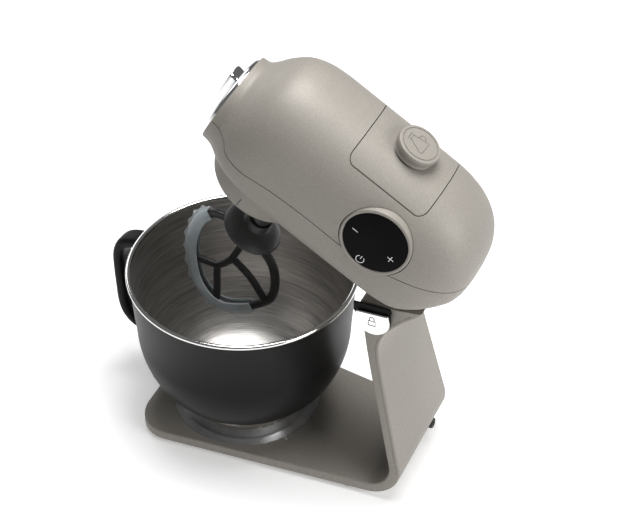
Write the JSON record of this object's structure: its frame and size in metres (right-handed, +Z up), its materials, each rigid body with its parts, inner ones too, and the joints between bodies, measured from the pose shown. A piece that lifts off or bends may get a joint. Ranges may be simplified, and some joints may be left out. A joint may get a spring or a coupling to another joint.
{
  "type": "stand mixer",
  "caption": "Tilt-head planetary stand mixer with a bent-plate stand, black bowl with loop handle, flex-edge beater, touch dial and front drive hub.",
  "frame": {"origin": "centre of the mixer's outline at the surface that it stands on", "axes": "+Z up; -Y towards the bowl's handle at the front; +X towards the side with the touch dial and the lock lever"},
  "size_m": [0.2236, 0.3898, 0.4298],
  "materials": {
    "taupe_paint": "satin warm grey metallic paint",
    "black_coat": "satin black coating",
    "black_plastic": "moulded black plastic",
    "chrome": "bright chrome plating",
    "steel": "plain machined or brushed steel",
    "cast_alloy": "bare cast aluminium",
    "rubber": "black rubber",
    "silicone": "translucent blue-grey silicone",
    "black_glass": "glossy black touch panel",
    "brass": "plain bronze or brass",
    "copper": "wound copper and laminated iron",
    "nylon": "natural nylon",
    "board": "printed circuit board"
  },
  "bodies": {
    "stand": {"stand": "taupe_paint", "rear_cover": "taupe_paint", "base_plate": "black_plastic", "foot_front_right": "rubber", "foot_front_left": "rubber", "foot_rear_right": "rubber", "foot_rear_left": "rubber", "bowl_seat": "cast_alloy", "hinge_pin": "steel", "hinge_bush_left": "brass", "hinge_bush_right": "brass", "cord_gland": "rubber"},
    "lever": {"lock_lever": "chrome", "lock_lever_body": "black_coat", "latch_pawl": "steel"},
    "bowl": {"bowl": "black_coat", "bowl_foot_ring": "steel", "bowl_handle": "black_coat"},
    "head": {"head_top_shell": "taupe_paint", "head_lower_shell": "taupe_paint", "control_ring": "taupe_paint", "control_glass": "black_glass", "control_board": "board", "front_hub_socket": "black_plastic", "motor_stator": "copper", "carbon_brush_left": "black_plastic", "carbon_brush_right": "black_plastic", "drive_belt": "rubber", "main_bearing": "steel", "gearbox_plate": "cast_alloy", "ring_gear": "cast_alloy", "hinge_bracket": "taupe_paint"},
    "lid": {"top_cover": "taupe_paint", "blender_cap": "taupe_paint"},
    "front_cap": {"front_hub_cap": "chrome"},
    "front_drive": {"front_hub_drive": "steel"},
    "motor": {"motor_shaft": "steel", "motor_rotor": "steel", "motor_commutator": "copper", "motor_fan": "black_plastic", "motor_pulley": "steel", "blender_drive": "black_plastic"},
    "counter": {"countershaft": "steel", "countershaft_pulley": "cast_alloy", "countershaft_pinion": "steel"},
    "planetary": {"planetary_hub": "taupe_paint", "main_gear": "nylon", "main_bevel_gear": "steel", "main_shaft": "steel"},
    "beater": {"planet_pinion": "steel", "beater_shaft": "steel", "drive_pin": "steel", "splash_disc": "black_plastic", "beater_frame": "black_coat", "silicone_scraper": "silicone"}
  },
  "joints": [
    {"name": "head_tilt", "type": "hinge", "parent": "stand", "child": "head", "pos_m": [0, 0.11707, 0.2162], "axis": [1, 0, 0], "range_deg": [0, 30.2]},
    {"name": "lock_lever_press", "type": "hinge", "parent": "stand", "child": "lever", "pos_m": [0, 0.12207, 0.2277], "axis": [1, 0, 0], "range_deg": [0, 25], "stiffness_Nm_per_rad": 0.06, "springref_deg": -20.05},
    {"name": "bowl_twist", "type": "hinge", "parent": "stand", "child": "bowl", "pos_m": [0, -0.04493, 0.0162], "axis": [0, 0, 1], "range_deg": [0, 20]},
    {"name": "planetary_spin", "type": "hinge", "parent": "head", "child": "planetary", "pos_m": [0, -0.02244, 0.29855], "axis": [0, 0.503, 0.8643], "continuous": true},
    {"name": "beater_spin", "type": "hinge", "parent": "planetary", "child": "beater", "pos_m": [0, -0.00368, 0.28764], "axis": [0, 0.503, 0.8643], "continuous": true},
    {"name": "countershaft_spin", "type": "hinge", "parent": "head", "child": "counter", "pos_m": [0, 0.03348, 0.31113], "axis": [0, 0.503, 0.8643], "continuous": true},
    {"name": "motor_spin", "type": "hinge", "parent": "head", "child": "motor", "pos_m": [0, 0.09163, 0.32357], "axis": [0, 0.503, 0.8643], "continuous": true},
    {"name": "front_drive_spin", "type": "hinge", "parent": "head", "child": "front_drive", "pos_m": [0, -0.01869, 0.36464], "axis": [0, 0.8643, -0.503], "continuous": true},
    {"name": "lid_lift", "type": "slide", "parent": "head", "child": "lid", "axis": [0, 0.503, 0.8643], "range_m": [0, 0.02]},
    {"name": "front_cap_pull", "type": "slide", "parent": "head", "child": "front_cap", "axis": [0, -0.8643, 0.503], "range_m": [0, 0.015]}
  ],
  "couplings": [
    {"joint": "beater_spin", "follows": "planetary_spin", "ratio": -3.0667},
    {"joint": "countershaft_spin", "follows": "planetary_spin", "ratio": -3.6667},
    {"joint": "motor_spin", "follows": "planetary_spin", "ratio": -9.7778},
    {"joint": "front_drive_spin", "follows": "planetary_spin", "ratio": -1}
  ]
}
